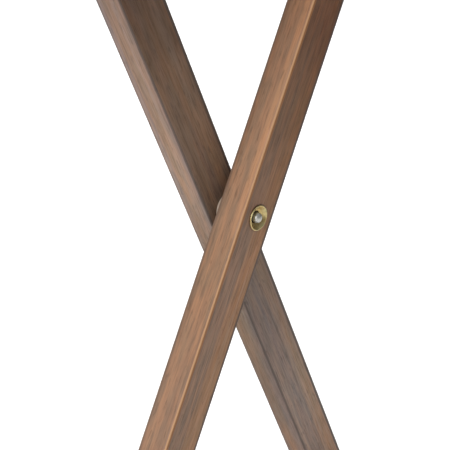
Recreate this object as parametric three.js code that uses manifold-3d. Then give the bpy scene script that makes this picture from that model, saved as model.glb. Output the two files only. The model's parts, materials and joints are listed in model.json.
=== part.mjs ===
// Folding tray table: two crossed leg frames, a tray top hinged to one of them, and two
// hook latches under the top that hold the crossbar of the other.
//
// Millimetres. +X runs along the pivot axis, from left to right. +Y points to the back,
// where the top is hinged. +Z is up. The origin is on the floor, under the middle.

import * as THREE from "three";
import { mergeVertices } from "three/addons/utils/BufferGeometryUtils.js";
import Module from "manifold-3d";

const wasm = await Module();
wasm.setup();

// Whole table
const TABLE_WIDTH = 540;
const TABLE_DEPTH = 381;
const TABLE_HEIGHT = 660;
const GAP = 0.3; // between pieces that touch

// Tray top
const RIM_HEIGHT = 18;
const RIM_THICKNESS = 8;
const RIM_CORNER_RADIUS = 14;
const RIM_EASE = 1.5;
const PANEL_THICKNESS = 12;
const UNDERSIDE = TABLE_HEIGHT - RIM_HEIGHT;

// Legs. Across the leg is the way it is seen from the side; thickness is along X.
const LEG_WIDTH = 28;
const LEG_THICKNESS = 18.2;
const LEG_ANGLE = THREE.MathUtils.degToRad(27.53); // from upright
const LEG_EASE = 1.45;
const LEG_SPAN = 500; // over the outer faces of the outer legs
const LEG_GAP = 4.6; // between an outer leg and its inner leg
const PIVOT_HEIGHT = 322;

// Heights of the two axes at the leg tips: the hinge of the top and the crossbar
const AXIS_DROP = 17; // below the underside of the top
const REACH = (UNDERSIDE - AXIS_DROP - PIVOT_HEIGHT) / Math.cos(LEG_ANGLE);
const AXIS_OFFSET = REACH * Math.sin(LEG_ANGLE);

// Pivot and hinge hardware
const PIN_RADIUS = 3;
const PIN_PROUD = 2.1; // how far the dome stands out of the wood
const PIN_DOME_HEIGHT = 2.4;
const CUP_RADIUS = 7.4;
const CUP_DISH_RADIUS = 6.3;
const CUP_HOLE_RADIUS = 3.6;
const CUP_DEPTH = 2.4;
const CUP_SHEET = 0.6;
const CUP_FLARE = 1.6; // above 1, the dish steepens towards its lip
const CUP_RECESS_RADIUS = CUP_DISH_RADIUS + 0.1;
const SPACER_RADIUS = 9.4;
const SPACER_EASE = 0.4;

// Cleats, between which the outer legs hang
const CLEAT_THICKNESS = 15;
const CLEAT_DEPTH = 30;
const CLEAT_CLEARANCE = 2; // from the leg to the cleat
const CLEAT_FRONT = -165;
const CLEAT_BACK = 174;
const CLEAT_EASE = 1.5;
const CLEAT_CORNER_RADIUS = 12;
const CLEAT_SCREWS = [-130, 0, 125];

// Rails and crossbar
const RAIL_THICKNESS = 11;
const RAIL_WIDTH = 30;
const RAIL_SETBACK = 0.5; // from the edge of the leg
const RAIL_EASE = 1.5;
const RAIL_REACH = 285; // from the pivot to the rails of the outer frame
const INNER_RAIL_REACH = 225;
const CROSSBAR_RADIUS = 7;
const CROSSBAR_SOCKET = 10;

// Latches
const LATCH_X = 130;
const LATCH_WIDTH = 20;
const LATCH_PLATE = 4;
const LATCH_HALF_LENGTH = 27;
const LATCH_BORE = CROSSBAR_RADIUS + 0.4;
const LATCH_WALL = 3.4;
const LATCH_SHOULDER = 2; // from the hook to the foot of the plate
const HOOK_START = THREE.MathUtils.degToRad(30); // above the back of the crossbar
const HOOK_END = THREE.MathUtils.degToRad(210);
const LATCH_SCREW_OFFSET = 20;
const LATCH_SCREWS = [-LATCH_SCREW_OFFSET, LATCH_SCREW_OFFSET].map((y) => y - AXIS_OFFSET);

// Screws
const WOOD_SCREW = { headRadius: 3.8, headHeight: 2.4, shaftRadius: 2, length: 42, taper: 4 };
const CLEAT_SCREW = { headRadius: 3.8, headHeight: 2.4, shaftRadius: 2, length: 30, taper: 4 };
const LATCH_SCREW = { headRadius: 3.4, headHeight: 2.2, shaftRadius: 1.6, length: 13, taper: 3 };
const SCREW_POINT = 1; // length of the blunt point
const HEAD_LAND = 0.4; // straight edge of a countersunk head
const PAN_HEAD_LAND = 0.55; // straight edge of a pan head, over its height
const PAN_HEAD_FLAT = 0.72; // flat top of a pan head, over its radius
const DRIVER_RECESS = { length: 3.4, width: 0.8, depth: 2.4 };
const CLEAT_COUNTERBORE = 9;
const CLEAT_SCREW_TOP = -CLEAT_DEPTH + CLEAT_COUNTERBORE - CLEAT_SCREW.headHeight - GAP;
const LATCH_SCREW_TOP = -LATCH_PLATE - LATCH_SCREW.headHeight - 2 * GAP;

// Fineness of the round surfaces
const SCREW_SIDES = 12;
const ROUND_SIDES = 24;
const TURNED_SIDES = 20;
const EASE_STEPS = 3;
const LEG_ARC_STEPS = 7;
const RAIL_ARC_STEPS = 1;
const CLEAT_ARC_STEPS = 3;
const HOOK_ARC_STEPS = 7;
const TRAY_CORNER_STEPS = 5;
const DOME_STEPS = [0, 0.45, 0.85, 1];

// Glides under the feet
const GLIDE_RADIUS = 7;
const GLIDE_HEIGHT = 3;
const GLIDE_EDGE = 1;
const GLIDE_PIN_RADIUS = 1.5;
const GLIDE_PIN_LENGTH = 12;
const GLIDE_PIN_TAPER = 2;

const LEG_OUTER_X = (LEG_SPAN - LEG_THICKNESS) / 2;
const LEG_INNER_X = LEG_OUTER_X - LEG_THICKNESS - LEG_GAP;
const CLEAT_X = LEG_SPAN / 2 + CLEAT_CLEARANCE + CLEAT_THICKNESS / 2;
const SIDES = { left: -1, right: 1 };
const WELD_DISTANCE = 1e-4;

const walnut = new THREE.MeshStandardMaterial({ color: 0x7a5f4e, roughness: 0.55, metalness: 0 });
const zinc = new THREE.MeshStandardMaterial({ color: 0xb49f66, roughness: 0.35, metalness: 1 });
const steel = new THREE.MeshStandardMaterial({ color: 0xb4b3ad, roughness: 0.35, metalness: 1 });
const screwSteel = new THREE.MeshStandardMaterial({ color: 0x8b8880, roughness: 0.4, metalness: 1 });
const nylon = new THREE.MeshStandardMaterial({ color: 0xc9c7c0, roughness: 0.5, metalness: 0 });
const latchPlastic = new THREE.MeshStandardMaterial({ color: 0x2f2823, roughness: 0.5, metalness: 0 });
const glidePlastic = new THREE.MeshStandardMaterial({ color: 0x3a2f28, roughness: 0.6, metalness: 0 });

// ---- Solids -------------------------------------------------------------------------

function solidOf(geometry) {
  const bare = geometry.clone();
  bare.deleteAttribute("normal");
  bare.deleteAttribute("uv");
  const welded = mergeVertices(bare, WELD_DISTANCE);
  return new wasm.Manifold(new wasm.Mesh({
    numProp: 3,
    vertProperties: new Float32Array(welded.attributes.position.array),
    triVerts: new Uint32Array(welded.index.array),
  }));
}

function geometryOf(solid) {
  const mesh = solid.getMesh();
  const geometry = new THREE.BufferGeometry();
  geometry.setAttribute("position", new THREE.BufferAttribute(mesh.vertProperties, 3));
  geometry.setIndex(new THREE.BufferAttribute(mesh.triVerts, 1));
  geometry.computeVertexNormals();
  return geometry;
}

function cut(geometry, tools) {
  let solid = solidOf(geometry);
  for (const tool of tools) {
    solid = solid.subtract(solidOf(tool));
  }
  return geometryOf(solid);
}

// A round bar along X, centred on the origin
function bar(radius, length, sides = ROUND_SIDES) {
  return new THREE.CylinderGeometry(radius, radius, length, sides).rotateZ(Math.PI / 2);
}

// An upright round bar, centred on the origin
function post(radius, length, sides = ROUND_SIDES) {
  return new THREE.CylinderGeometry(radius, radius, length, sides).rotateX(Math.PI / 2);
}

// A flat outline in Y and Z, given thickness along X, with eased edges all round. Each arc
// of the outline gets twice as many sides as `arcSteps`.
function plateAcrossX(outline, thickness, ease, arcSteps) {
  const plate = new THREE.ExtrudeGeometry(outline, {
    depth: thickness - 2 * ease,
    bevelEnabled: ease > 0,
    bevelThickness: ease,
    bevelSize: ease,
    bevelOffset: -ease,
    bevelSegments: EASE_STEPS,
    curveSegments: arcSteps,
  });
  plate.translate(0, 0, ease - thickness / 2);
  const toYZ = new THREE.Matrix4().makeBasis(
    new THREE.Vector3(0, 1, 0),
    new THREE.Vector3(0, 0, 1),
    new THREE.Vector3(1, 0, 0),
  );
  return plate.applyMatrix4(toYZ);
}

// A profile of (radius, height) points, turned about X with its top towards the given side
function turnedAlongX(profile, side, segments = TURNED_SIDES) {
  const points = profile.map(([radius, height]) => new THREE.Vector2(radius, height));
  return new THREE.LatheGeometry(points, segments).rotateZ(-side * Math.PI / 2);
}

// The same, turned about Z with its top down
function turnedDown(profile) {
  const points = profile.map(([radius, height]) => new THREE.Vector2(radius, height));
  return new THREE.LatheGeometry(points, SCREW_SIDES).rotateX(-Math.PI / 2);
}

function add(group, name, geometry, material, x = 0, y = 0, z = 0) {
  const mesh = new THREE.Mesh(geometry, material.clone());
  mesh.name = name;
  mesh.position.set(x, y, z);
  group.add(mesh);
}

// ---- Groups -------------------------------------------------------------------------

// In both leg frames the origin is the pivot, Z runs up along the legs and Y across them.
const table = new THREE.Group();
const outerFrame = new THREE.Group();
const innerFrame = new THREE.Group();
const trayTop = new THREE.Group();
outerFrame.position.z = PIVOT_HEIGHT;
outerFrame.rotation.x = -LEG_ANGLE;
innerFrame.position.z = PIVOT_HEIGHT;
innerFrame.rotation.x = LEG_ANGLE;
trayTop.position.z = UNDERSIDE;
table.add(outerFrame, innerFrame, trayTop);

// ---- Screws -------------------------------------------------------------------------

// A countersunk screw from its point up to the top of its head at height 0
function countersunkProfile({ headRadius, headHeight, shaftRadius, length, taper }) {
  return [
    [0, -length],
    [shaftRadius / 2, -length + SCREW_POINT],
    [shaftRadius, -length + taper],
    [shaftRadius, -headHeight],
    [headRadius, -HEAD_LAND],
    [headRadius, 0],
    [0, 0],
  ];
}

// The hole that a countersunk screw needs, open above the head
function countersinkProfile({ headRadius, headHeight, shaftRadius, length }) {
  const above = 1;
  return [
    [0, -length - GAP],
    [shaftRadius + GAP, -length - GAP],
    [shaftRadius + GAP, -headHeight - GAP],
    [headRadius + GAP, -HEAD_LAND],
    [headRadius + GAP, above],
    [0, above],
  ];
}

function panHeadProfile({ headRadius, headHeight, shaftRadius, length, taper }) {
  return [
    [0, -length],
    [shaftRadius / 2, -length + SCREW_POINT],
    [shaftRadius, -length + taper],
    [shaftRadius, -headHeight],
    [headRadius, -headHeight],
    [headRadius, -headHeight * (1 - PAN_HEAD_LAND)],
    [headRadius * PAN_HEAD_FLAT, 0],
    [0, 0],
  ];
}

// The crossed slots of the driver recess, in a head whose top is at height 0
function driverRecess(toPlace) {
  const { length, width, depth } = DRIVER_RECESS;
  const slots = [[length, width], [width, length]];
  return slots.map(([x, z]) => toPlace(new THREE.BoxGeometry(x, depth, z)));
}

function screwAlongX(size, side) {
  const screw = turnedAlongX(countersunkProfile(size), side, SCREW_SIDES);
  return cut(screw, driverRecess((slot) => slot.rotateZ(-side * Math.PI / 2)));
}

function screwUpwards(profile) {
  return cut(turnedDown(profile), driverRecess((slot) => slot.rotateX(-Math.PI / 2)));
}

// ---- Legs ---------------------------------------------------------------------------

// A leg seen from the side: round at the tip, cut level with the floor at the foot.
// The foot slopes one way on the outer legs and the other way on the inner ones.
function legOutline(slope) {
  const half = LEG_WIDTH / 2;
  const drop = PIVOT_HEIGHT - GLIDE_HEIGHT - GAP;
  const foot = (across) => (slope * across * Math.sin(LEG_ANGLE) - drop) / Math.cos(LEG_ANGLE);
  const outline = new THREE.Shape();
  outline.moveTo(-half, foot(-half));
  outline.lineTo(half, foot(half));
  outline.lineTo(half, REACH);
  outline.absarc(0, REACH, half, 0, Math.PI, false);
  outline.closePath();
  return outline;
}

// The level hole in a foot that takes the pin of its glide
function glideHole(slope) {
  const length = 2 * (GLIDE_PIN_LENGTH + GAP);
  const height = -(PIVOT_HEIGHT - GLIDE_HEIGHT - GAP) / Math.cos(LEG_ANGLE);
  return post(GLIDE_PIN_RADIUS + GAP, length, SCREW_SIDES).rotateX(slope * LEG_ANGLE)
    .translate(0, 0, height);
}

function cupRecess(side, z) {
  const depth = CUP_DEPTH + GAP;
  return bar(CUP_RECESS_RADIUS, 2 * depth).translate(side * LEG_THICKNESS / 2, 0, z);
}

function pinHole(z) {
  return bar(PIN_RADIUS + GAP, 2 * LEG_THICKNESS).translate(0, 0, z);
}

function railScrewHole(side, y, z) {
  return turnedAlongX(countersinkProfile(WOOD_SCREW), side, SCREW_SIDES)
    .translate(side * LEG_THICKNESS / 2, y, z);
}

const OUTER_RAIL_Y = LEG_WIDTH / 2 - RAIL_SETBACK - RAIL_THICKNESS / 2;

for (const [where, side] of Object.entries(SIDES)) {
  const outerBlank = plateAcrossX(legOutline(1), LEG_THICKNESS, LEG_EASE, LEG_ARC_STEPS);
  const outerLeg = cut(outerBlank, [
    pinHole(0),
    cupRecess(side, 0),
    pinHole(REACH),
    cupRecess(-side, REACH),
    railScrewHole(side, -OUTER_RAIL_Y, -RAIL_REACH),
    railScrewHole(side, OUTER_RAIL_Y, RAIL_REACH),
    glideHole(1),
  ]);
  add(outerFrame, `outer_leg_${where}`, outerLeg, walnut, side * LEG_OUTER_X);

  const socket = bar(CROSSBAR_RADIUS + GAP, 2 * (CROSSBAR_SOCKET + GAP))
    .translate(-side * LEG_THICKNESS / 2, 0, REACH);
  const innerBlank = plateAcrossX(legOutline(-1), LEG_THICKNESS, LEG_EASE, LEG_ARC_STEPS);
  const innerLeg = cut(innerBlank, [
    pinHole(0),
    cupRecess(-side, 0),
    socket,
    railScrewHole(side, -OUTER_RAIL_Y, INNER_RAIL_REACH),
    glideHole(-1),
  ]);
  add(innerFrame, `inner_leg_${where}`, innerLeg, walnut, side * LEG_INNER_X);
}

// ---- Rails and crossbar -------------------------------------------------------------

function railOutline() {
  const outline = new THREE.Shape();
  outline.moveTo(-RAIL_THICKNESS / 2 + RAIL_EASE, -RAIL_WIDTH / 2);
  const corners = [
    [RAIL_THICKNESS / 2 - RAIL_EASE, -RAIL_WIDTH / 2 + RAIL_EASE, -Math.PI / 2],
    [RAIL_THICKNESS / 2 - RAIL_EASE, RAIL_WIDTH / 2 - RAIL_EASE, 0],
    [-RAIL_THICKNESS / 2 + RAIL_EASE, RAIL_WIDTH / 2 - RAIL_EASE, Math.PI / 2],
    [-RAIL_THICKNESS / 2 + RAIL_EASE, -RAIL_WIDTH / 2 + RAIL_EASE, Math.PI],
  ];
  for (const [y, z, start] of corners) {
    outline.absarc(y, z, RAIL_EASE, start, start + Math.PI / 2, false);
  }
  return outline;
}

// A rail between two legs whose centres are at plus and minus legX
function rail(legX) {
  const length = 2 * legX - LEG_THICKNESS - 2 * GAP;
  const holes = Object.values(SIDES).map((side) => turnedAlongX(
    countersinkProfile(WOOD_SCREW), side, SCREW_SIDES,
  ).translate(side * (legX + LEG_THICKNESS / 2), 0, 0));
  return cut(plateAcrossX(railOutline(), length, 0, RAIL_ARC_STEPS), holes);
}

add(outerFrame, "outer_lower_rail", rail(LEG_OUTER_X), walnut, 0, -OUTER_RAIL_Y, -RAIL_REACH);
add(outerFrame, "outer_upper_rail", rail(LEG_OUTER_X), walnut, 0, OUTER_RAIL_Y, RAIL_REACH);
add(innerFrame, "inner_rail", rail(LEG_INNER_X), walnut, 0, -OUTER_RAIL_Y, INNER_RAIL_REACH);

const crossbarLength = 2 * LEG_INNER_X - LEG_THICKNESS + 2 * CROSSBAR_SOCKET;
add(innerFrame, "crossbar", bar(CROSSBAR_RADIUS, crossbarLength), walnut, 0, 0, REACH);

for (const [where, side] of Object.entries(SIDES)) {
  const outerX = side * (LEG_OUTER_X + LEG_THICKNESS / 2);
  const innerX = side * (LEG_INNER_X + LEG_THICKNESS / 2);
  add(outerFrame, `lower_rail_screw_${where}`, screwAlongX(WOOD_SCREW, side), screwSteel,
    outerX, -OUTER_RAIL_Y, -RAIL_REACH);
  add(outerFrame, `upper_rail_screw_${where}`, screwAlongX(WOOD_SCREW, side), screwSteel,
    outerX, OUTER_RAIL_Y, RAIL_REACH);
  add(innerFrame, `inner_rail_screw_${where}`, screwAlongX(WOOD_SCREW, side), screwSteel,
    innerX, -OUTER_RAIL_Y, INNER_RAIL_REACH);
}

// ---- Pins, cups and spacers ---------------------------------------------------------

// A pin with a domed end on both sides, centred on the origin
function domedPin(length) {
  const end = length / 2;
  const dome = DOME_STEPS.map((reach) => [
    PIN_RADIUS * reach,
    end - PIN_DOME_HEIGHT * (1 - Math.sqrt(1 - reach * reach)),
  ]);
  const lower = dome.map(([radius, height]) => [radius, -height]);
  return turnedAlongX([...lower, ...dome.reverse()], 1);
}

// A pressed cup washer whose lip lies on the wood at height 0 and whose dish sinks into it
function cupWasher(side) {
  const dishWidth = CUP_DISH_RADIUS - CUP_SHEET / 2 - CUP_HOLE_RADIUS;
  const dish = [0, 0.5, 1].map((step) => [
    CUP_HOLE_RADIUS + dishWidth * step,
    -CUP_DEPTH + (CUP_DEPTH + GAP) * step ** CUP_FLARE,
  ]);
  const inside = dish.map(([radius, height], index) => [
    radius - (index > 0 ? CUP_SHEET / 2 : 0),
    height + CUP_SHEET,
  ]).reverse();
  const lip = [
    [CUP_RADIUS, GAP],
    [CUP_RADIUS - CUP_SHEET / 2, GAP + CUP_SHEET],
  ];
  return turnedAlongX([...dish, ...lip, ...inside, dish[0]], side);
}

function spacer(thickness) {
  const half = thickness / 2;
  const ease = Math.min(SPACER_EASE, half / 2);
  const hole = PIN_RADIUS + GAP;
  return turnedAlongX([
    [hole, -half],
    [SPACER_RADIUS - ease, -half],
    [SPACER_RADIUS, -half + ease],
    [SPACER_RADIUS, half - ease],
    [SPACER_RADIUS - ease, half],
    [hole, half],
    [hole, -half],
  ], 1);
}

const pivotPinLength = 2 * LEG_THICKNESS + LEG_GAP + 2 * PIN_PROUD;
const hingePinLength = LEG_THICKNESS + CLEAT_CLEARANCE + CLEAT_THICKNESS + 2 * PIN_PROUD;

for (const [where, side] of Object.entries(SIDES)) {
  const outerFace = LEG_OUTER_X + LEG_THICKNESS / 2;
  const innerFace = LEG_INNER_X - LEG_THICKNESS / 2;
  const legInside = LEG_OUTER_X - LEG_THICKNESS / 2;
  add(outerFrame, `pivot_pin_${where}`, domedPin(pivotPinLength), steel,
    side * (outerFace + innerFace) / 2);
  add(outerFrame, `pivot_outer_cup_${where}`, cupWasher(side), zinc, side * outerFace);
  add(innerFrame, `pivot_inner_cup_${where}`, cupWasher(-side), zinc, side * innerFace);
  add(outerFrame, `pivot_spacer_${where}`, spacer(LEG_GAP - 2 * GAP), nylon,
    side * (legInside - LEG_GAP / 2));
  add(outerFrame, `hinge_spacer_${where}`, spacer(CLEAT_CLEARANCE - 2 * GAP), nylon,
    side * (outerFace + CLEAT_CLEARANCE / 2), 0, REACH);
  add(outerFrame, `hinge_inner_cup_${where}`, cupWasher(-side), zinc,
    side * legInside, 0, REACH);

  const hingeX = (legInside + outerFace + CLEAT_CLEARANCE + CLEAT_THICKNESS) / 2;
  add(trayTop, `hinge_pin_${where}`, domedPin(hingePinLength), steel,
    side * hingeX, AXIS_OFFSET, -AXIS_DROP);
  add(trayTop, `hinge_outer_cup_${where}`, cupWasher(side), zinc,
    side * (CLEAT_X + CLEAT_THICKNESS / 2), AXIS_OFFSET, -AXIS_DROP);
}

// ---- Glides -------------------------------------------------------------------------

function glide() {
  const pinTop = GLIDE_HEIGHT + GLIDE_PIN_LENGTH;
  const profile = [
    [0, 0],
    [GLIDE_RADIUS - GLIDE_EDGE, 0],
    [GLIDE_RADIUS, GLIDE_EDGE],
    [GLIDE_RADIUS, GLIDE_HEIGHT],
    [GLIDE_PIN_RADIUS, GLIDE_HEIGHT],
    [GLIDE_PIN_RADIUS, pinTop - GLIDE_PIN_TAPER],
    [0, pinTop],
  ].map(([radius, height]) => new THREE.Vector2(radius, height));
  return new THREE.LatheGeometry(profile, TURNED_SIDES).rotateX(Math.PI / 2);
}

const footOffset = (PIVOT_HEIGHT - GLIDE_HEIGHT - GAP) * Math.tan(LEG_ANGLE);
for (const [where, side] of Object.entries(SIDES)) {
  add(table, `outer_glide_${where}`, glide(), glidePlastic, side * LEG_OUTER_X, -footOffset, 0);
  add(table, `inner_glide_${where}`, glide(), glidePlastic, side * LEG_INNER_X, footOffset, 0);
}

// ---- Tray top -----------------------------------------------------------------------

function roundedRectangle(width, depth, radius, target) {
  const x = width / 2 - radius;
  const y = depth / 2 - radius;
  target.absarc(x, y, radius, 0, Math.PI / 2, false);
  target.absarc(-x, y, radius, Math.PI / 2, Math.PI, false);
  target.absarc(-x, -y, radius, Math.PI, Math.PI * 1.5, false);
  target.absarc(x, -y, radius, Math.PI * 1.5, Math.PI * 2, false);
  target.closePath();
  return target;
}

function rimRing() {
  const outline = roundedRectangle(TABLE_WIDTH, TABLE_DEPTH, RIM_CORNER_RADIUS, new THREE.Shape());
  outline.holes.push(roundedRectangle(
    TABLE_WIDTH - 2 * RIM_THICKNESS,
    TABLE_DEPTH - 2 * RIM_THICKNESS,
    RIM_CORNER_RADIUS - RIM_THICKNESS,
    new THREE.Path(),
  ));
  return new THREE.ExtrudeGeometry(outline, {
    depth: RIM_HEIGHT - 2 * RIM_EASE,
    bevelThickness: RIM_EASE,
    bevelSize: RIM_EASE,
    bevelOffset: -RIM_EASE,
    bevelSegments: EASE_STEPS,
    curveSegments: TRAY_CORNER_STEPS,
  }).translate(0, 0, RIM_EASE);
}

// One quarter of the plane between the mitres, for the strip on the +Y side of a tray that
// is `across` wide and `deep` deep. It reaches well past the strip on both sides.
function mitreWedge(across, deep) {
  const inward = 3 * RIM_THICKNESS;
  const outward = RIM_THICKNESS;
  const shape = new THREE.Shape();
  const corner = across / 2 - GAP / 2 * Math.SQRT2;
  shape.moveTo(corner + outward, deep / 2 + outward);
  shape.lineTo(-corner - outward, deep / 2 + outward);
  shape.lineTo(-corner + inward, deep / 2 - inward);
  shape.lineTo(corner - inward, deep / 2 - inward);
  shape.closePath();
  return new THREE.ExtrudeGeometry(shape, { depth: 2 * RIM_HEIGHT, bevelEnabled: false })
    .translate(0, 0, -RIM_HEIGHT / 2);
}

const rims = {
  back: mitreWedge(TABLE_WIDTH, TABLE_DEPTH),
  left: mitreWedge(TABLE_DEPTH, TABLE_WIDTH).rotateZ(Math.PI / 2),
  front: mitreWedge(TABLE_WIDTH, TABLE_DEPTH).rotateZ(Math.PI),
  right: mitreWedge(TABLE_DEPTH, TABLE_WIDTH).rotateZ(-Math.PI / 2),
};
for (const [where, wedge] of Object.entries(rims)) {
  const strip = solidOf(rimRing()).intersect(solidOf(wedge));
  add(trayTop, `rim_${where}`, geometryOf(strip), walnut);
}

// The hole in the underside for a screw driven up into it, with its head's face at `top`
function screwPilot(size, top, x, y) {
  const depth = top + size.length + GAP;
  return post(size.shaftRadius + GAP, 2 * depth, SCREW_SIDES).translate(x, y, 0);
}

function topPanel() {
  const outline = roundedRectangle(
    TABLE_WIDTH - 2 * RIM_THICKNESS - 2 * GAP,
    TABLE_DEPTH - 2 * RIM_THICKNESS - 2 * GAP,
    RIM_CORNER_RADIUS - RIM_THICKNESS,
    new THREE.Shape(),
  );
  const panel = new THREE.ExtrudeGeometry(outline, {
    depth: PANEL_THICKNESS,
    bevelEnabled: false,
    curveSegments: TRAY_CORNER_STEPS,
  });
  const pilots = Object.values(SIDES).flatMap((side) => [
    ...CLEAT_SCREWS.map((y) => screwPilot(CLEAT_SCREW, CLEAT_SCREW_TOP, side * CLEAT_X, y)),
    ...LATCH_SCREWS.map((y) => screwPilot(LATCH_SCREW, LATCH_SCREW_TOP, side * LATCH_X, y)),
  ]);
  return cut(panel, pilots);
}

add(trayTop, "top_panel", topPanel(), walnut);

// A cleat seen from the side, its top just under the panel
function cleatOutline() {
  const radius = CLEAT_CORNER_RADIUS;
  const arcHeight = -CLEAT_DEPTH + radius;
  const outline = new THREE.Shape();
  outline.moveTo(CLEAT_FRONT + radius, -CLEAT_DEPTH);
  outline.absarc(CLEAT_BACK - radius, arcHeight, radius, -Math.PI / 2, 0, false);
  outline.lineTo(CLEAT_BACK, -GAP);
  outline.lineTo(CLEAT_FRONT, -GAP);
  outline.absarc(CLEAT_FRONT + radius, arcHeight, radius, Math.PI, Math.PI * 1.5, false);
  outline.closePath();
  return outline;
}

function cleat(side) {
  const holes = CLEAT_SCREWS.flatMap((y) => [
    post(CLEAT_SCREW.shaftRadius + GAP, 3 * CLEAT_DEPTH, SCREW_SIDES).translate(0, y, 0),
    post(CLEAT_SCREW.headRadius + GAP, 2 * CLEAT_COUNTERBORE, SCREW_SIDES)
      .translate(0, y, -CLEAT_DEPTH),
  ]);
  holes.push(
    bar(PIN_RADIUS + GAP, 2 * CLEAT_THICKNESS).translate(0, AXIS_OFFSET, -AXIS_DROP),
    bar(CUP_RECESS_RADIUS, 2 * (CUP_DEPTH + GAP))
      .translate(side * CLEAT_THICKNESS / 2, AXIS_OFFSET, -AXIS_DROP),
  );
  const blank = plateAcrossX(cleatOutline(), CLEAT_THICKNESS, CLEAT_EASE, CLEAT_ARC_STEPS);
  return cut(blank, holes);
}

// A latch seen from the side, about the axis of the crossbar: a plate against the underside
// of the top and a half-round hook, open down and towards the back
function latchOutline() {
  const plateTop = AXIS_DROP - GAP;
  const plateBottom = plateTop - LATCH_PLATE;
  const outer = LATCH_BORE + LATCH_WALL;
  const outline = new THREE.Shape();
  outline.moveTo(LATCH_HALF_LENGTH, plateBottom);
  outline.lineTo(LATCH_HALF_LENGTH, plateTop);
  outline.lineTo(-LATCH_HALF_LENGTH, plateTop);
  outline.lineTo(-LATCH_HALF_LENGTH, plateBottom);
  outline.lineTo(-outer - LATCH_SHOULDER, plateBottom);
  outline.absarc(0, 0, outer, Math.PI, HOOK_END, false);
  outline.absarc(0, 0, LATCH_BORE, HOOK_END, HOOK_START, true);
  outline.lineTo(outer * Math.cos(HOOK_START), outer * Math.sin(HOOK_START));
  outline.lineTo(outer + LATCH_SHOULDER, plateBottom);
  outline.closePath();
  return outline;
}

function latch() {
  const holes = [-1, 1].map((end) => post(LATCH_SCREW.shaftRadius + GAP, 4 * AXIS_DROP, SCREW_SIDES)
    .translate(0, end * LATCH_SCREW_OFFSET, 0));
  return cut(plateAcrossX(latchOutline(), LATCH_WIDTH, 0, HOOK_ARC_STEPS), holes);
}

for (const [where, side] of Object.entries(SIDES)) {
  add(trayTop, `cleat_${where}`, cleat(side), walnut, side * CLEAT_X);
  CLEAT_SCREWS.forEach((y, index) => {
    const name = `cleat_screw_${where}_${["front", "middle", "back"][index]}`;
    add(trayTop, name, screwUpwards(countersunkProfile(CLEAT_SCREW)), screwSteel,
      side * CLEAT_X, y, CLEAT_SCREW_TOP);
  });
  add(trayTop, `latch_${where}`, latch(), latchPlastic, side * LATCH_X, -AXIS_OFFSET, -AXIS_DROP);
  LATCH_SCREWS.forEach((y, index) => {
    const name = `latch_screw_${where}_${["front", "back"][index]}`;
    add(trayTop, name, screwUpwards(panHeadProfile(LATCH_SCREW)), screwSteel,
      side * LATCH_X, y, LATCH_SCREW_TOP);
  });
}

export default table;
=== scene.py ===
import json
import math

import bmesh
import bpy
from mathutils import Matrix, Vector


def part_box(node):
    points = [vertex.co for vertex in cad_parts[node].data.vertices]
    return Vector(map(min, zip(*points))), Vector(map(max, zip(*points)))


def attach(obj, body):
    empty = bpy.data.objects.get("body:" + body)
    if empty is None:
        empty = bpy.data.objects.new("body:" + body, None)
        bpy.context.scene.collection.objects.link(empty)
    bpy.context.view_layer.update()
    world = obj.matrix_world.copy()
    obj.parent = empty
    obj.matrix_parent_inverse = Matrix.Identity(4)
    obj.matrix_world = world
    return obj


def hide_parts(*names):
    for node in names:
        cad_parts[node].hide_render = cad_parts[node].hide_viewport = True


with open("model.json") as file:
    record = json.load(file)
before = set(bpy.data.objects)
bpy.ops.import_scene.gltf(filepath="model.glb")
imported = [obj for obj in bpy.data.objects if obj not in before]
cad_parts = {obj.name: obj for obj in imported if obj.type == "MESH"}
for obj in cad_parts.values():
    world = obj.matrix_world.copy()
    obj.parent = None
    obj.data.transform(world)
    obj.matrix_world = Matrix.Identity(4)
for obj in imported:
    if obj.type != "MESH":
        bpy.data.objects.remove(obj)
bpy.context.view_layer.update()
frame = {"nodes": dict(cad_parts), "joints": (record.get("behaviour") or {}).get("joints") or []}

# ---- Measures from the frame ------------------------------------------------------------

MM = 0.001
JOINTS = {joint["name"]: joint for joint in frame["joints"]}
PIVOT = Vector(JOINTS["leg_fold"]["pos_m"])
HINGE = Vector(JOINTS["top_tilt"]["pos_m"])
LEG_ANGLE = math.atan2(HINGE.y - PIVOT.y, HINGE.z - PIVOT.z)
SIDES = {"left": -1, "right": 1}


def centre(node):
    low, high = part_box(node)
    return (low + high) / 2


def extent(node):
    low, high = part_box(node)
    return high - low


LEG_WIDTH = 28 * MM
LEG_THICKNESS = extent("outer_leg_right").x
OUTER_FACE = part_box("outer_leg_right")[1].x
CUP_RADIUS = extent("pivot_outer_cup_right").z / 2

# ---- Node trees -------------------------------------------------------------------------


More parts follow.
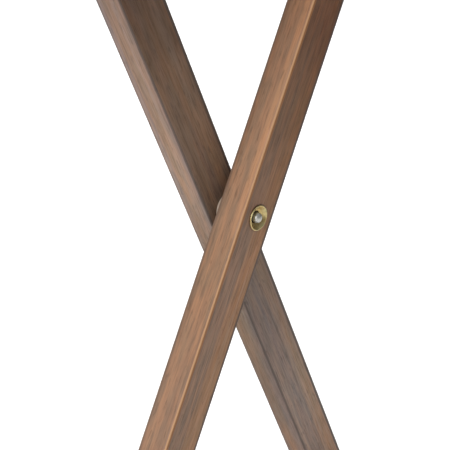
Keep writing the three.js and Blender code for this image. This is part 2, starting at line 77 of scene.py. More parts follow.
class Tree:
    """A material's node tree, with a short call for each kind of node."""

    def __init__(self, name):
        self.material = bpy.data.materials.new(name)
        self.material.use_nodes = True
        self.tree = self.material.node_tree
        self.tree.nodes.clear()
        self.output = self.tree.nodes.new("ShaderNodeOutputMaterial")
        self.shader = self.tree.nodes.new("ShaderNodeBsdfPrincipled")
        self.link(self.shader.outputs["BSDF"], self.output.inputs["Surface"])

    def link(self, source, target):
        self.tree.links.new(source, target)

    def put(self, socket, value):
        """Links a socket to another node's output, or sets its value."""
        if isinstance(value, bpy.types.NodeSocket):
            self.link(value, socket)
        else:
            socket.default_value = value

    def set(self, **values):
        """Sets the Principled shader's sockets, with _ for each space in a name."""
        for name, value in values.items():
            self.put(self.shader.inputs[name.replace("_", " ")], value)

    def math(self, operation, first, second=0.0):
        node = self.tree.nodes.new("ShaderNodeMath")
        node.operation = operation
        self.put(node.inputs[0], first)
        self.put(node.inputs[1], second)
        return node.outputs[0]

    def object_coordinates(self, origin=(0, 0, 0), turn=(0, 0, 0)):
        """Coordinates on the piece, about an origin and turned with its grain along Z."""
        source = self.tree.nodes.new("ShaderNodeTexCoord")
        mapping = self.tree.nodes.new("ShaderNodeMapping")
        mapping.vector_type = "TEXTURE"
        self.link(source.outputs["Object"], mapping.inputs["Vector"])
        mapping.inputs["Location"].default_value = origin
        mapping.inputs["Rotation"].default_value = turn
        return mapping.outputs[0]

    def split(self, vector):
        node = self.tree.nodes.new("ShaderNodeSeparateXYZ")
        self.link(vector, node.inputs[0])
        return node.outputs[0], node.outputs[1], node.outputs[2]

    def join(self, x, y, z):
        node = self.tree.nodes.new("ShaderNodeCombineXYZ")
        for socket, value in zip(node.inputs, (x, y, z)):
            self.put(socket, value)
        return node.outputs[0]

    def scaled(self, vector, scale, shift=(0, 0, 0)):
        mapping = self.tree.nodes.new("ShaderNodeMapping")
        self.link(vector, mapping.inputs["Vector"])
        mapping.inputs["Scale"].default_value = scale
        mapping.inputs["Location"].default_value = shift
        return mapping.outputs[0]

    def distance(self, first, second):
        """The distance from the origin of a point in a plane."""
        squares = [self.math("MULTIPLY", value, value) for value in (first, second)]
        return self.math("SQRT", self.math("ADD", *squares))

    def noise(self, vector, scale=1.0, detail=2.0, roughness=0.5):
        node = self.tree.nodes.new("ShaderNodeTexNoise")
        self.link(vector, node.inputs["Vector"])
        node.inputs["Scale"].default_value = scale
        node.inputs["Detail"].default_value = detail
        node.inputs["Roughness"].default_value = roughness
        return node.outputs["Fac"]

    def steps(self, value, low, high, start=0.0, end=1.0):
        """Rises smoothly from start to end as the value goes from low to high."""
        node = self.tree.nodes.new("ShaderNodeMapRange")
        node.interpolation_type = "SMOOTHSTEP"
        for name, number in zip(("Value", "From Min", "From Max", "To Min", "To Max"),
                                (value, low, high, start, end)):
            self.put(node.inputs[name], number)
        return node.outputs[0]

    def ramp(self, value, stops):
        node = self.tree.nodes.new("ShaderNodeValToRGB")
        self.link(value, node.inputs[0])
        elements = node.color_ramp.elements
        while len(elements) < len(stops):
            elements.new(0.5)
        for element, (position, colour) in zip(elements, stops):
            element.position = position
            element.color = (*colour, 1)
        return node.outputs[0]

    def mix(self, factor, first, second, blend="MIX"):
        node = self.tree.nodes.new("ShaderNodeMix")
        node.data_type = "RGBA"
        node.blend_type = blend
        self.put(node.inputs["Factor"], factor)
        for socket, value in ((node.inputs[6], first), (node.inputs[7], second)):
            self.put(socket, value if isinstance(value, bpy.types.NodeSocket) else (*value, 1))
        return node.outputs[2]

    def bump(self, height, distance, strength=1.0):
        node = self.tree.nodes.new("ShaderNodeBump")
        self.link(height, node.inputs["Height"])
        node.inputs["Distance"].default_value = distance
        node.inputs["Strength"].default_value = strength
        return node.outputs[0]


# ---- Wood -------------------------------------------------------------------------------

WOOD_DARK = (0.092, 0.046, 0.024)
WOOD_GREY = (0.195, 0.110, 0.067)
WOOD_BROWN = (0.270, 0.124, 0.050)
WOOD_TAN = (0.330, 0.172, 0.090)
# worn stain on a rubbed corner, lightened further as a painted highlight
WORN_CORNER_HIGHLIGHT = (0.425, 0.238, 0.120)
WORN_STRIPE = (0.285, 0.120, 0.042)
# painted shade on rounded corners that face away from the light or lie between the legs
PAINTED_CORNER_SHADE = (0.060, 0.043, 0.036)
MOTTLE_TINTS = ((0.90, 0.93, 0.94), (1.07, 1.01, 0.96))
STRIP_TINT = (0.72, 0.70, 0.70)
NO_PAINTED_SHADING = ((0.0, (1.0, 1.0, 1.0)),)

ALONG_X = (0, math.pi / 2, 0)
ALONG_Y = (-math.pi / 2, 0, 0)

# Layers of the grain: noise scale across, across and along it, detail and roughness
GRAIN_LAYERS = {
    "broad": ((75, 75, 2.6), 1.5, 0.5),
    "bands": ((230, 230, 3.0), 2.5, 0.55),
    "mottle": ((240, 240, 45), 2.0, 0.5),
    "flecks": ((850, 850, 130), 2.0, 0.5),
    "fibres": ((1300, 1300, 75), 3.5, 0.62),
}
WANDER_SCALE = (14, 14, 2.2)
WANDER = 9 * MM
SEED_SHIFT = (1.37, 2.11, 0.73)  # from one piece's grain to the next

WOOD_ROUGHNESS = (0.62, 0.48)  # between fibres and on them
FIBRE_RELIEF = 0.05 * MM
PORE_DEPTH = 0.8  # of the relief

BOARD_WIDTH = 62 * MM  # of the strips that the tray's panel is glued up from
STRIP_SHIFT = 0.737  # along the grain, from one strip to the next
GLUE_LINE = (0.35 * MM, 0.15 * MM)  # half widths, where it starts and where it is full

FACE_BLEND = 0.4 * MM  # half the width over which one face's tint turns into the next's

# Worn corners with a painted highlight, and corners with painted shade, as distances inside a
# bar's faces where a colour starts and is full
STRIPE_DEPTH = (-1.1 * MM, -0.5 * MM)
STRIPE_WIDTH = (-2.9 * MM, -2.1 * MM)
STRIPE_WAVE = 1.2 * MM
LINE_DEPTH = (-0.95 * MM, -0.65 * MM)
LINE_WIDTH = (-1.05 * MM, -0.75 * MM)
CORNER_SHADE_FADE = 0.3 * MM

# Painted shadow round a cup's proud lip: distances from its edge, and amounts below and above it
RING_START, RING_FULL = 1.0 * MM, 0.3 * MM
RING_AMOUNTS = (0.35, 0.85)
RING_TURN = 6 * MM


def painted_shading_along(t, height, stops):
    """A colour that goes smoothly through (height in mm, colour) stops, lowest first."""
    colour = stops[0][1]
    for (low, _), (high, above) in zip(stops, stops[1:]):
        colour = t.mix(t.steps(height, low * MM, high * MM), colour, above)
    return colour


def grain(t, x, y, z, seed):
    """The noises of the grain, whose lines run along Z and wander a little."""
    shift = tuple(seed * step for step in SEED_SHIFT)
    wander = t.noise(t.scaled(t.join(x, y, z), WANDER_SCALE, shift), detail=1.5)
    drift = t.math("MULTIPLY", t.math("SUBTRACT", wander, 0.5), WANDER)
    across = t.join(t.math("ADD", x, drift), t.math("ADD", y, drift), z)
    return {name: t.noise(t.scaled(across, scale, shift), detail=detail, roughness=roughness)
            for name, (scale, detail, roughness) in GRAIN_LAYERS.items()}


def grain_colour(t, layers, warmth, pores):
    bands, fibres = layers["bands"], layers["fibres"]
    colour = t.mix(warmth, WOOD_GREY, WOOD_BROWN)
    colour = t.mix(t.steps(bands, 0.44, 0.70, 0.0, 0.75), colour, WOOD_TAN)
    colour = t.mix(t.steps(bands, 0.44, 0.26, 0.0, 0.45), colour, WOOD_DARK)
    colour = t.mix(t.steps(fibres, 0.42, 0.66, 0.0, 0.30), colour, WOOD_TAN)
    colour = t.mix(t.steps(fibres, 0.50, 0.32, 0.0, 0.34), colour, WOOD_DARK)
    colour = t.mix(t.math("MULTIPLY", pores, 0.42), colour, WOOD_DARK)
    mottled = t.mix(t.steps(layers["mottle"], 0.36, 0.64), *MOTTLE_TINTS)
    return t.mix(1.0, colour, mottled, "MULTIPLY")


def glued_strips(t, colour, y, strip, width, seed):
    """Strips of a glued-up panel, each in its own tone, with a fine line at each joint."""
    tone = t.noise(t.join(strip, 0.0, seed), scale=3.7, detail=0.0)
    colour = t.mix(t.steps(tone, 0.35, 0.65, 0.0, 0.8), colour, STRIP_TINT, "MULTIPLY")
    from_middle = t.math("ABSOLUTE", t.math("SUBTRACT", t.math("FRACT", t.math(
        "DIVIDE", y, width)), 0.5))
    line = t.steps(from_middle, *(0.5 - half_width / width for half_width in GLUE_LINE))
    return t.mix(t.math("MULTIPLY", line, 0.6), colour, WOOD_DARK)


def painted_face_shading(t, colour, x, y, z, half, side, edge):
    """Painted light and shade along a bar: side on its X faces, edge on its Y faces."""
    past_side = t.math("SUBTRACT", t.math("ABSOLUTE", x), half[1])
    past_edge = t.math("SUBTRACT", t.math("ABSOLUTE", y), half[0])
    on_side = t.steps(t.math("SUBTRACT", past_side, past_edge), -FACE_BLEND, FACE_BLEND)
    # painted light and shade: each face lightened or darkened along the bar
    light_and_shade = t.mix(on_side, painted_shading_along(t, z, edge), painted_shading_along(t, z, side))
    return t.mix(1.0, colour, light_and_shade, "MULTIPLY")


def worn_and_shaded_corners(t, colour, x, y, half, corners, bands):
    """A light line along a rubbed corner, partly worn stain and partly a painted highlight,
    with a browner stripe beside it on the X face, and painted shade over a corner that
    faces away from the light."""
    wave = t.math("MULTIPLY", t.math("SUBTRACT", bands, 0.5), STRIPE_WAVE)
    for x_sign, y_sign, amount, reach in corners:
        from_side = t.math("ADD", t.math("MULTIPLY", x, x_sign), -half[1])
        from_edge = t.math("ADD", t.math("MULTIPLY", y, y_sign), -half[0])
        if amount < 0:
            # painted shade over the corner and the faces beside it, as far as the reach
            near = t.steps(t.math("ADD", from_side, from_edge), -reach, CORNER_SHADE_FADE - reach)
            colour = t.mix(t.math("MULTIPLY", near, -amount), colour, PAINTED_CORNER_SHADE)
            continue
        stripe = t.math("MULTIPLY", t.steps(from_side, *STRIPE_DEPTH, 0.0, amount),
                        t.steps(t.math("ADD", from_edge, wave), *STRIPE_WIDTH))
        colour = t.mix(stripe, colour, WORN_STRIPE)
        # worn stain with a painted highlight, a light line right along the corner
        line = t.math("MULTIPLY", t.steps(from_side, *LINE_DEPTH, 0.0, amount),
                      t.steps(from_edge, *LINE_WIDTH))
        colour = t.mix(line, colour, WORN_CORNER_HIGHLIGHT)
    return colour


def painted_shadow_ring(t, colour, y, z, radius):
    """A painted shadow round a cup of this radius at the origin, darker above than below."""
    ring = t.steps(t.distance(y, z), radius + RING_START, radius + RING_FULL)
    amount = t.steps(z, -RING_TURN, RING_TURN, *RING_AMOUNTS)
    return t.mix(t.math("MULTIPLY", ring, amount), colour, WOOD_DARK)


def wood(name, origin, turn, seed, half=None, corners=(), side=NO_PAINTED_SHADING, edge=NO_PAINTED_SHADING,
         warm_side=0, board=None, cup_radius=None):
    """Walnut-stained wood with its grain along the turned Z.

    half is the half width (Y) and half thickness (X) of a straight bar. corners lists its
    long corners as (x sign, y sign, amount, reach), rubbed lighter with a painted highlight
    by an amount above 0 and darkened with painted shade as far as the reach by one below it.
    side and edge are painted light and shade along the bar on its X and Y faces. warm_side
    is the Y side that the browner wood leans to. board is the width of the strips of a
    glued-up panel. cup_radius is that of a cup at the origin, round which a painted shadow
    is drawn.
    """
    t = Tree(name)
    x, y, z = t.split(t.object_coordinates(origin, turn))
    if board:
        strip = t.math("FLOOR", t.math("DIVIDE", y, board))
        z = t.math("ADD", z, t.math("MULTIPLY", strip, STRIP_SHIFT))
    layers = grain(t, x, y, z, seed)
    bands, fibres = layers["bands"], layers["fibres"]
    pores = t.steps(layers["flecks"], 0.60, 0.70)

    warmth = t.steps(layers["broad"], 0.38, 0.62)
    if warm_side:
        leaning = t.math("DIVIDE", t.math("MULTIPLY", y, warm_side), 2 * half[0])
        ragged = t.math("MULTIPLY", t.math("SUBTRACT", bands, 0.5), 0.7)
        warmth = t.steps(t.math("ADD", leaning, ragged), -0.16, 0.18)

    colour = grain_colour(t, layers, warmth, pores)
    if board:
        colour = glued_strips(t, colour, y, strip, board, seed)
    if half:
        # painted light and shade along each face, then corners worn with a painted highlight or
        # darkened with painted shade
        colour = painted_face_shading(t, colour, x, y, z, half, side, edge)
        colour = worn_and_shaded_corners(t, colour, x, y, half, corners, bands)
    if cup_radius:
        # painted shadow round the cup's lip
        colour = painted_shadow_ring(t, colour, y, z, cup_radius)

    height = t.math("SUBTRACT", fibres, t.math("MULTIPLY", pores, PORE_DEPTH))
    t.set(Base_Color=colour,
          Roughness=t.steps(fibres, 0.3, 0.7, *WOOD_ROUGHNESS),
          Specular_IOR_Level=0.36,
          Normal=t.bump(height, FIBRE_RELIEF, 0.7))
    return t.material


# ---- Metals and plastics ----------------------------------------------------------------

ZINC_FILM = ((0.3, (0.50, 0.36, 0.14)), (0.5, (0.60, 0.48, 0.23)), (0.7, (0.50, 0.46, 0.24)))
ZINC_GRIME = (0.28, 0.23, 0.11)
PIN_STEEL = (0.52, 0.515, 0.475)
SCREW_STEEL = (0.36, 0.34, 0.30)
SPACER_NYLON = (0.34, 0.27, 0.21)
GLIDE_BROWN = (0.045, 0.032, 0.025)
LATCH_BROWN = (0.030, 0.021, 0.016)
METAL_RELIEF = 0.02 * MM
PLASTIC_RELIEF = 0.03 * MM


def yellow_zinc():
    """Passivated zinc, between gold and olive, with grime in its pits."""
    t = Tree("yellow_zinc")
    p = t.object_coordinates()
    film = t.noise(p, scale=180, detail=1.5)
    grime = t.noise(p, scale=700, detail=3, roughness=0.6)
    colour = t.mix(t.steps(grime, 0.55, 0.75, 0.0, 0.35), t.ramp(film, ZINC_FILM), ZINC_GRIME)
    t.set(Base_Color=colour,
          Metallic=0.85,
          Roughness=t.steps(grime, 0.3, 0.7, 0.36, 0.50),
          Normal=t.bump(grime, METAL_RELIEF, 0.6))
    return t.material


def steel(name, colour, roughness):
    """Plated steel with darker spots."""
    t = Tree(name)
    p = t.object_coordinates()
    mottle = t.noise(p, scale=1400, detail=3, roughness=0.6)
    shade = t.mix(t.steps(mottle, 0.4, 0.75, 0.0, 0.5), colour, tuple(c * 0.55 for c in colour))
    t.set(Base_Color=shade,
          Metallic=0.75,
          Roughness=t.steps(mottle, 0.3, 0.7, roughness - 0.08, roughness + 0.12),
          Normal=t.bump(mottle, METAL_RELIEF, 0.6))
    return t.material


def plastic(name, colour, roughness):
    """Moulded plastic with a fine matt texture."""
    t = Tree(name)
    p = t.object_coordinates()
    speckle = t.noise(p, scale=2200, detail=2)
    cloud = t.noise(p, scale=60, detail=2)
    shade = t.mix(t.steps(cloud, 0.35, 0.65, 0.0, 0.35), colour,
                  tuple(min(1.0, c * 1.25) for c in colour))
    t.set(Base_Color=shade,
          Roughness=t.steps(speckle, 0.3, 0.7, roughness - 0.06, roughness + 0.08),
          Normal=t.bump(speckle, PLASTIC_RELIEF, 0.7))
    return t.material


# ---- Finishing the CAD nodes ------------------------------------------------------------


def shade_smooth(mesh, smooth_angle=35):
    """Smooth shading everywhere but on edges sharper than the angle, in degrees."""
    limit = math.radians(smooth_angle)
    copy = bmesh.new()
    copy.from_mesh(mesh)
    sharp = [edge.index for edge in copy.edges
             if len(edge.link_faces) == 2 and edge.calc_face_angle(0) >= limit]
    copy.free()
    for face in mesh.polygons:
        face.use_smooth = True
    for index in sharp:
        mesh.edges[index].use_edge_sharp = True


def finish_node(node, material):
    """Gives a CAD node its material, and smooth shading on its rounded surfaces."""
    piece = frame["nodes"][node]
    piece.data.materials.clear()
    piece.data.materials.append(material)
    shade_smooth(piece.data)
    weighted = piece.modifiers.new("flat faces stay flat", "WEIGHTED_NORMAL")
    weighted.keep_sharp = True


# Painted light and shade on the legs, as (height above the pivot in mm, colour) multipliers on
# their X and Y faces: darker where shade falls, paler and greyer where a sheen is painted
LEG_LOOKS = {
    "outer_leg_right": dict(
        seed=3, warm_side=1,
        side=((-250, (1.0, 1.0, 1.0)), (-130, (1.19, 1.29, 1.40)), (-30, (1.25, 1.34, 1.48)),
              (20, (1.06, 1.05, 1.04)), (60, (0.85, 0.80, 0.72)), (115, (0.66, 0.52, 0.41)),
              (220, (0.9, 0.9, 0.9))),
        edge=((-250, (1.0, 1.0, 1.0)), (-130, (1.05, 1.07, 1.10)), (-30, (1.02, 1.02, 0.98)),
              (25, (1.11, 1.14, 1.13)), (60, (1.09, 1.10, 1.08)), (90, (1.02, 1.00, 0.98)),
              (125, (0.92, 0.88, 0.83)), (220, (1.0, 1.0, 1.0)))),
    "inner_leg_right": dict(
        seed=7,
        side=((-280, (1.0, 1.0, 1.0)), (-160, (1.15, 1.50, 2.10)), (-90, (0.96, 1.26, 1.85)),
              (-40, (0.85, 1.12, 1.48)), (60, (0.87, 1.09, 1.50)), (95, (0.76, 0.93, 1.24)),
              (120, (0.60, 0.69, 0.87)), (160, (0.42, 0.46, 0.60)), (260, (0.9, 0.9, 0.9))),
        edge=((-280, (1.0, 1.0, 1.0)), (-160, (0.58, 0.74, 1.04)), (-80, (0.63, 0.82, 1.10)),
              (40, (0.88, 1.17, 1.75)), (100, (0.78, 1.02, 1.55)), (160, (0.60, 0.79, 1.27)),
              (260, (1.0, 1.0, 1.0)))),
    "outer_leg_left": dict(seed=11, warm_side=1),
    "inner_leg_left": dict(seed=17),
}


# Long corners of the legs, as (amount, reach): worn lighter with a painted highlight above 0,
# darkened with painted shade below it
RUBBED_AND_LIT_FRONT = (0.95, 0.0)
SHADED_FRONT = (-0.75, 1.3 * MM)
SHADED_BACK = (-0.8, 2.8 * MM)
SHADED_INSIDE = (-0.45, 2.2 * MM)


def finish_legs():
    half_leg = (LEG_WIDTH / 2, LEG_THICKNESS / 2)
    for kind, tilt in (("outer", -LEG_ANGLE), ("inner", LEG_ANGLE)):
        for where, side in SIDES.items():
            node = f"{kind}_leg_{where}"
            origin = (centre(node).x, PIVOT.y, PIVOT.z)
            front = RUBBED_AND_LIT_FRONT if kind == "outer" else SHADED_FRONT
            corners = [(side, -1, *front), (side, 1, *SHADED_BACK),
                       (-side, -1, *SHADED_INSIDE), (-side, 1, *SHADED_INSIDE)]
            finish_node(node, wood(f"wood_{node}", origin, (tilt, 0, 0), half=half_leg,
                                   corners=corners, cup_radius=CUP_RADIUS,
                                   **LEG_LOOKS[node]))


def tilted_section(node, tilt):
    """Sizes across and along the legs of a straight bar between them, from its box."""
    size = extent(node)
    c, s = abs(math.cos(tilt)), abs(math.sin(tilt))
    across = (size.y * c - size.z * s) / (c * c - s * s)
    along = (size.z * c - size.y * s) / (c * c - s * s)
    return across, along


def finish_bar(node, turn, seed, width, thickness, rubbed_and_lit):
    """A straight bar with all its long corners rubbed lighter by the same amount, as wear with a
    painted highlight.
    """
    corners = [(x, y, rubbed_and_lit, 0.0) for x in (-1, 1) for y in (-1, 1)]
    finish_node(node, wood(f"wood_{node}", centre(node), turn, seed,
                           half=(width / 2, thickness / 2), corners=corners))


def finish_rails():
    """The rails run along X between legs that lean back (outer) or forward (inner)."""
    rails = (("outer_lower_rail", -LEG_ANGLE), ("outer_upper_rail", -LEG_ANGLE),
             ("inner_rail", LEG_ANGLE))
    for seed, (node, tilt) in enumerate(rails, 30):
        turn = (Matrix.Rotation(tilt, 3, "X") @ Matrix.Rotation(math.pi / 2, 3, "Y")).to_euler()
        finish_bar(node, turn, seed, *tilted_section(node, tilt), rubbed_and_lit=0.5)


def finish_tray():
    for seed, node in enumerate(("rim_front", "rim_back"), 40):
        finish_bar(node, ALONG_X, seed, extent(node).y, extent(node).z, rubbed_and_lit=0.6)
    for seed, node in enumerate(("rim_left", "rim_right", "cleat_left", "cleat_right"), 50):
        finish_bar(node, ALONG_Y, seed, extent(node).z, extent(node).x, rubbed_and_lit=0.6)
    finish_node("top_panel", wood("wood_top_panel", centre("top_panel"), ALONG_X, 60,
                                  board=BOARD_WIDTH))


def finish_screws(material):
    for node in frame["nodes"]:
        if "screw" in node:
            finish_node(node, material)


# ---- Turned and moulded pieces ----------------------------------------------------------

ROUND = 72  # sides of the turned metal pieces and spacers
PLAIN_ROUND = 48  # sides of the crossbar and the glides

# Each cup's body, and whether it opens away from the middle of the table or towards it
CUPS = {"pivot_outer": ("outer_frame", 1), "pivot_inner": ("inner_frame", -1),
        "hinge_inner": ("outer_frame", -1), "hinge_outer": ("tray_top", 1)}
DISH_DEPTH = 2.4 * MM
LIP_ROLL = 0.42 * MM
DISH_WIDTH = 3.75 * MM  # from the cup's edge in to its hole

DOME_HEIGHT = 2.4 * MM
DOME_ANGLES = range(84, 12, -6)  # degrees off the axis, down to where the end was headed
HEADED_FLAT = 0.14  # of the pin's radius

SPACER_EASE = 0.45 * MM
SPACER_HOLE = 3.3 * MM
CROSSBAR_EASE = 0.8 * MM

GLIDE_HEIGHT = 3 * MM
GLIDE_EASE = 0.9 * MM
GLIDE_PIN = 1.5 * MM  # radius
GLIDE_POINT = 2 * MM

LATCH_PLATE = 4 * MM
HOOK_PLAY = 0.4 * MM
HOOK_WALL = 3.4 * MM
HOOK_SHOULDER = 2 * MM
HOOK_START, HOOK_END = 210, 30  # degrees round the crossbar, from the front
LATCH_SOFTENING = 0.5 * MM


def to_mesh(name, mesh):
    """Turns a bmesh into mesh data, with its faces outwards."""
    bmesh.ops.recalc_face_normals(mesh, faces=mesh.faces)
    data = bpy.data.meshes.new(name)
    mesh.to_mesh(data)
    mesh.free()
    return data


def new_piece(name, mesh, material, body, node):
    """Adds a finer piece in place of a CAD node."""
    mesh.materials.append(material)
    shade_smooth(mesh)
    piece = bpy.data.objects.new(name, mesh)
    bpy.context.scene.collection.objects.link(piece)
    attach(piece, body)
    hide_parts(node)
    return piece


def turned(name, profile, place, axis, sides=ROUND):
    """A mesh turned about an axis through place. The profile is (radius, height) points;
    it is closed into a ring unless it starts and ends on the axis."""
    rotation = Vector((0, 0, 1)).rotation_difference(Vector(axis)).to_matrix()
    mesh = bmesh.new()
    rings = []
    for radius, height in profile:
        count = sides if radius > 0 else 1
        rings.append([mesh.verts.new(Vector(place) + rotation @ Vector((
            radius * math.cos(2 * math.pi * k / sides),
            radius * math.sin(2 * math.pi * k / sides), height))) for k in range(count)])
    pairs = list(zip(rings, rings[1:]))
    if profile[0][0] > 0:
        pairs.append((rings[-1], rings[0]))
    for lower, upper in pairs:
        for k in range(sides):
            corners = [lower[k % len(lower)], lower[(k + 1) % sides % len(lower)],
                       upper[(k + 1) % sides % len(upper)], upper[k % len(upper)]]
            mesh.faces.new(dict.fromkeys(corners))
    return to_mesh(name, mesh)


def arc(radius, height, size, start, end, steps=6):
    """Points of a quarter or other part of a circle in a profile, angles in degrees."""
    angles = [math.radians(start + (end - start) * k / steps) for k in range(steps + 1)]
    return [(radius + size * math.cos(a), height + size * math.sin(a)) for a in angles]


def both_ends(upper):
    """The profile of a bar whose lower half mirrors its upper half."""
    return [(radius, -height) for radius, height in reversed(upper)] + upper


def smooth_path(points, steps=5):
    """The same path with curved stretches (Catmull-Rom) between its points."""
    path = []
    for k in range(len(points) - 1):
        before = points[max(k - 1, 0)]
        start, end = points[k], points[k + 1]
        after = points[min(k + 2, len(points) - 1)]
        for step in range(steps):
            f = step / steps
            path.append(tuple(0.5 * (2 * s + (e - b) * f + (2 * b - 5 * s + 4 * e - a) * f * f
                                     + (3 * s - b - 3 * e + a) * f ** 3)
                              for b, s, e, a in zip(before, start, end, after)))
    path.append(points[-1])
    return path


def cup_profile(radius, proud):
    """A pressed cup washer: a rolled lip that stands proud of the wood, and a dish sunk
    into it, with a hole. Heights are above the wood."""
    hole = radius - DISH_WIDTH
    bottom = -DISH_DEPTH
    inside = smooth_path([
        (radius - LIP_ROLL - 0.30 * MM, proud - 0.12 * MM),
        (radius - 1.25 * MM, 0.05 * MM),
        (radius - 2.30 * MM, 0.50 * bottom),
        (hole + 0.45 * MM, bottom + 0.78 * MM),
        (hole + 0.02 * MM, bottom + 0.55 * MM),
        (hole, bottom + 0.25 * MM),
    ])
    underside = smooth_path([
        (hole + 0.25 * MM, bottom),
        (hole + 0.95 * MM, bottom + 0.25 * MM),
        (radius - 2.15 * MM, 0.62 * bottom),
        (radius - 1.30 * MM, -0.35 * MM),
        (radius - 1.00 * MM, 0.02 * MM),
    ])
    return arc(radius - LIP_ROLL, proud - LIP_ROLL, LIP_ROLL, -80, 110, 12) + inside + underside


def build_cups(material):
    for kind, (body, outwards) in CUPS.items():
        for where, side in SIDES.items():
            node = f"{kind}_cup_{where}"
            direction = side * outwards
            size = extent(node)
            wood_face = centre(node).x + direction * (DISH_DEPTH - size.x / 2)
            place = (wood_face, centre(node).y, centre(node).z)
            profile = cup_profile(size.z / 2, size.x - DISH_DEPTH)
            new_piece(f"{kind}_cup_washer_{where}",
                      turned(node, profile, place, (direction, 0, 0)),
                      material, body, node)


def build_pins(material):
    """Pins with both ends domed, and a small flat where each was headed."""
    for kind, body in (("pivot", "outer_frame"), ("hinge", "tray_top")):
        for where in SIDES:
            node = f"{kind}_pin_{where}"
            radius, half = extent(node).z / 2, extent(node).x / 2
            dome = [(radius * math.sin(math.radians(a)),
                     half - DOME_HEIGHT * (1 - math.cos(math.radians(a))))
                    for a in DOME_ANGLES]
            headed = [(HEADED_FLAT * radius, half - 0.02 * MM), (0, half - 0.05 * MM)]
            upper = [(radius, half - DOME_HEIGHT - 0.02 * MM)] + dome + headed
            new_piece(f"{kind}_rivet_{where}",
                      turned(node, both_ends(upper), centre(node), (1, 0, 0)),
                      material, body, node)


def build_spacers(material):
    for kind in ("pivot", "hinge"):
        for where in SIDES:
            node = f"{kind}_spacer_{where}"
            radius, half = extent(node).z / 2, extent(node).x / 2
            ease = min(SPACER_EASE, 0.7 * half)
            profile = (arc(radius - ease, -half + ease, ease, -90, 0)
                       + arc(radius - ease, half - ease, ease, 0, 90)
                       + [(SPACER_HOLE, half), (SPACER_HOLE, -half)])
            new_piece(f"{kind}_washer_{where}",
                      turned(node, profile, centre(node), (1, 0, 0)),
                      material, "outer_frame", node)


def build_crossbar():
    node = "crossbar"
    radius, half = extent(node).z / 2, extent(node).x / 2
    ease = CROSSBAR_EASE
    upper = arc(radius - ease, half - ease, ease, 0, 90) + [(0, half)]
    mesh = turned(node, both_ends(upper), centre(node), (1, 0, 0), PLAIN_ROUND)
    new_piece("crossbar_dowel", mesh, wood("wood_crossbar", centre(node), ALONG_X, 36),
              "inner_frame", node)


def build_glides(material):
    """Round feet with a slightly hollow sole, each on a pin up into its leg."""
    for kind, body in (("outer", "outer_frame"), ("inner", "inner_frame")):
        for where in SIDES:
            node = f"{kind}_glide_{where}"
            low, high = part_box(node)
            radius = extent(node).x / 2
            sole = [(0, 0.25 * MM), (radius * 0.55, 0.2 * MM), (radius - 2 * GLIDE_EASE, 0)]
            rim = (arc(radius - GLIDE_EASE, GLIDE_EASE, GLIDE_EASE, -90, 0)
                   + arc(radius - 0.3 * MM, GLIDE_HEIGHT - 0.3 * MM, 0.3 * MM, 0, 90, 3))
            pin = [(GLIDE_PIN, GLIDE_HEIGHT), (GLIDE_PIN, high.z - GLIDE_POINT), (0, high.z)]
            place = (centre(node).x, centre(node).y, low.z)
            new_piece(f"{kind}_foot_glide_{where}",
                      turned(node, sole + rim + pin, place, (0, 0, 1), PLAIN_ROUND),
                      material, body, node)


def on_circle(radius, angles):
    return [(radius * math.cos(math.radians(a)), radius * math.sin(math.radians(a)))
            for a in angles]


def latch_outline(low, high, axis):
    """The side view of a latch as (Y, Z) points about the crossbar's axis: a plate with a
    half-round hook under it."""
    bore = extent("crossbar").z / 2 + HOOK_PLAY
    outer = bore + HOOK_WALL
    shoulder = outer + HOOK_SHOULDER
    top = high.z - axis.z
    under = top - LATCH_PLATE
    front, back = low.y - axis.y, high.y - axis.y
    hook = (on_circle(outer, range(180, HOOK_START + 1, 5))
            + on_circle(bore, range(HOOK_START, HOOK_END - 1, -6))
            + on_circle(outer, (HOOK_END,)))
    return ([(back, under), (back, top), (front, top), (front, under), (-shoulder, under)]
            + hook + [(shoulder, under)])


def build_latches(material):
    """Latches moulded in one, with softened edges."""
    for where in SIDES:
        node = f"latch_{where}"
        low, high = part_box(node)
        axis = centre("crossbar")
        outline = latch_outline(low, high, axis)
        mesh = bmesh.new()
        left, right = ([mesh.verts.new((x, axis.y + y, axis.z + z)) for y, z in outline]
                       for x in (low.x, high.x))
        mesh.faces.new(left)
        mesh.faces.new(list(reversed(right)))
        for k in range(len(outline)):
            n = (k + 1) % len(outline)
            mesh.faces.new((left[n], left[k], right[k], right[n]))
        piece = new_piece(f"hook_latch_{where}", to_mesh(node, mesh), material,
                          "tray_top", node)
        soften = piece.modifiers.new("softened edges", "BEVEL")
        soften.width = LATCH_SOFTENING
        soften.segments = 3
        soften.limit_method = "ANGLE"
        soften.angle_limit = math.radians(40)
        soften.harden_normals = True


# ---- The whole table --------------------------------------------------------------------

finish_legs()
finish_rails()
finish_tray()
finish_screws(steel("screw_steel", SCREW_STEEL, roughness=0.38))
build_cups(yellow_zinc())
build_pins(steel("pin_steel", PIN_STEEL, roughness=0.42))
build_spacers(plastic("spacer_nylon", SPACER_NYLON, roughness=0.5))
build_crossbar()
build_glides(plastic("glide_plastic", GLIDE_BROWN, roughness=0.5))
build_latches(plastic("latch_plastic", LATCH_BROWN, roughness=0.42))

# ---- Camera -----------------------------------------------------------------------------

VIEW_AZIMUTH = 0.8729  # from +X towards -Y, radians
VIEW_ELEVATION = 0.374
VIEW_ROLL = 0.0179
VIEW_DISTANCE = 26.80 * LEG_WIDTH
VIEW_ASIDE = -0.649 * LEG_WIDTH
VIEW_ABOVE = -0.1409 * LEG_WIDTH
FOCAL_SHARE = 1357.46 / 450  # focal length over the picture's width
SENSOR = 36


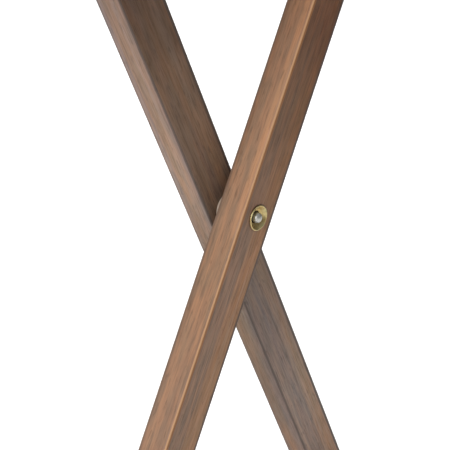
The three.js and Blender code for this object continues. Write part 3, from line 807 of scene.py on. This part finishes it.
def place_camera():
    """Looks down at the crossing of the right legs, which fills the picture."""
    flat = math.cos(VIEW_ELEVATION)
    back = Vector((flat * math.cos(VIEW_AZIMUTH), -flat * math.sin(VIEW_AZIMUTH),
                   math.sin(VIEW_ELEVATION)))
    level = Vector((math.sin(VIEW_AZIMUTH), math.cos(VIEW_AZIMUTH), 0))
    upright = back.cross(level)
    right = math.cos(VIEW_ROLL) * level + math.sin(VIEW_ROLL) * upright
    up = math.cos(VIEW_ROLL) * upright - math.sin(VIEW_ROLL) * level
    aim = Vector((OUTER_FACE, PIVOT.y, PIVOT.z))
    place = aim + VIEW_ASIDE * right + VIEW_ABOVE * up + VIEW_DISTANCE * back

    data = bpy.data.cameras.new("camera")
    data.sensor_width = SENSOR
    data.lens = FOCAL_SHARE * SENSOR
    data.clip_start = 0.01
    camera = bpy.data.objects.new("camera", data)
    bpy.context.scene.collection.objects.link(camera)
    camera.matrix_world = Matrix((
        (right.x, up.x, back.x, place.x),
        (right.y, up.y, back.y, place.y),
        (right.z, up.z, back.z, place.z),
        (0, 0, 0, 1),
    ))
    bpy.context.scene.camera = camera


place_camera()

# ---- Studio -----------------------------------------------------------------------------

FLOOR_SIZE = 14
FLOOR_FADE = (1.5, 2.8)  # distances between which the floor fades into the white backdrop
PAPER = ((0.90, 0.90, 0.90), (0.92, 0.92, 0.92))
SKY_BRIGHT_SIDE = Vector((-0.60, -0.70, 0.40)).normalized()
SKY_LEVELS = (0.10, 0.40)  # away from the bright side and towards it
BACKDROP_LEVEL = 1.0

# Softboxes: place, aim, size and power in watts
SOFTBOXES = {
    "key": ((0.40, -2.7, 1.65), (0, 0, PIVOT.z), 1.5, 92),
    "top": ((-0.9, 1.3, 3.0), (-0.5, 0.7, 0), 2.6, 125),
}


def floor():
    t = Tree("floor_paper")
    p = t.object_coordinates()
    x, y, _ = t.split(p)
    t.set(Base_Color=t.mix(t.noise(p, scale=3, detail=2), *PAPER),
          Roughness=0.9,
          Specular_IOR_Level=0.2,
          Alpha=t.steps(t.distance(x, y), *FLOOR_FADE, 1.0, 0.0))
    mesh = bpy.data.meshes.new("floor")
    s = FLOOR_SIZE / 2
    mesh.from_pydata([(-s, -s, 0), (s, -s, 0), (s, s, 0), (-s, s, 0)], [], [(0, 1, 2, 3)])
    mesh.materials.append(t.material)
    plane = bpy.data.objects.new("floor", mesh)
    bpy.context.scene.collection.objects.link(plane)


def softbox(name, place, aim, size, power):
    data = bpy.data.lights.new(name, "AREA")
    data.shape = "SQUARE"
    data.size = size
    data.energy = power
    light = bpy.data.objects.new(name, data)
    light.location = place
    light.rotation_euler = (Vector(place) - Vector(aim)).to_track_quat("Z", "Y").to_euler()
    light.visible_camera = False
    bpy.context.scene.collection.objects.link(light)


def sky():
    """A white backdrop that lights the object softly, more from its bright side."""
    world = bpy.data.worlds.new("studio")
    world.use_nodes = True
    tree = world.node_tree
    background = tree.nodes["Background"]
    background.inputs["Color"].default_value = (1, 1, 1, 1)
    direction = tree.nodes.new("ShaderNodeTexCoord")
    towards = tree.nodes.new("ShaderNodeVectorMath")
    towards.operation = "DOT_PRODUCT"
    towards.inputs[1].default_value = SKY_BRIGHT_SIDE
    tree.links.new(direction.outputs["Generated"], towards.inputs[0])
    spread = tree.nodes.new("ShaderNodeMapRange")
    for name, number in zip(("From Min", "From Max", "To Min", "To Max"), (-1, 1, *SKY_LEVELS)):
        spread.inputs[name].default_value = number
    tree.links.new(towards.outputs["Value"], spread.inputs["Value"])
    seen = tree.nodes.new("ShaderNodeLightPath")
    level = tree.nodes.new("ShaderNodeMix")
    tree.links.new(seen.outputs["Is Camera Ray"], level.inputs[0])
    tree.links.new(spread.outputs["Result"], level.inputs[2])
    level.inputs[3].default_value = BACKDROP_LEVEL
    tree.links.new(level.outputs[0], background.inputs["Strength"])
    bpy.context.scene.world = world


floor()
for name, setting in SOFTBOXES.items():
    softbox(name, *setting)
sky()
bpy.context.scene.view_settings.view_transform = "Standard"
bpy.context.scene.view_settings.look = "None"
